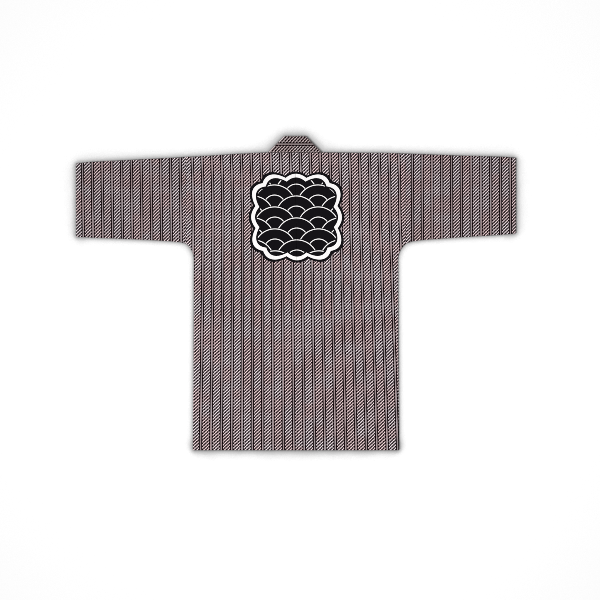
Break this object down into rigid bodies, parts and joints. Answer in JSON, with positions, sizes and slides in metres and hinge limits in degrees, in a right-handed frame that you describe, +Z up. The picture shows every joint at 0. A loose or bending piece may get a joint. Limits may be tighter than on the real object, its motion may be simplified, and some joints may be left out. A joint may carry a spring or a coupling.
{
  "type": "happi coat",
  "caption": "Hip-length straight coat with square sleeves and a long collar band, laid flat on its front with the back uppermost.",
  "frame": {"origin": "middle of the coat's footprint, on the surface that it lies on", "axes": "+X towards the right-hand cuff as the back is seen, +Y up the back towards the collar, +Z up from the surface"},
  "size_m": [1.2802, 0.9147, 0.0066],
  "materials": {
    "body_cotton": "matt printed cotton",
    "sleeve_cotton": "matt printed cotton",
    "collar_cotton": "matt printed cotton, doubled"
  },
  "bodies": {
    "root": {"body_left": "body_cotton", "body_right": "body_cotton", "sleeve_left": "sleeve_cotton", "sleeve_right": "sleeve_cotton", "collar": "collar_cotton"}
  },
  "joints": []
}
